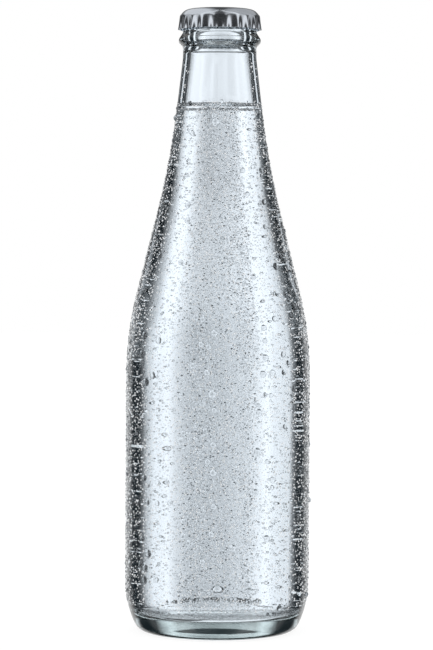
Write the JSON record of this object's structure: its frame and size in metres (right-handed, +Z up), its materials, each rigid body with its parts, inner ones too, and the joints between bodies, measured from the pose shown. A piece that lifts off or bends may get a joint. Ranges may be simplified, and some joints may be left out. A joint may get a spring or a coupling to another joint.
{
  "type": "bottle of sparkling water",
  "caption": "Clear glass bottle with a long taper, filled with sparkling water to the neck and shut with a crimped steel crown cap.",
  "frame": {"origin": "centre of the standing ring, at the level of the surface the bottle stands on", "axes": "+Z up along the bottle's axis; a valley of the cap's flutes faces -Y"},
  "size_m": [0.0628, 0.0628, 0.2131],
  "materials": {
    "flint_glass": "moulded clear soda-lime glass, beaded with condensation",
    "sparkling_water": "clear carbonated water",
    "tinplate": "bright pressed tinplate"
  },
  "bodies": {
    "root": {"bottle": "flint_glass", "water": "sparkling_water", "crown_cap": "tinplate"}
  },
  "joints": []
}
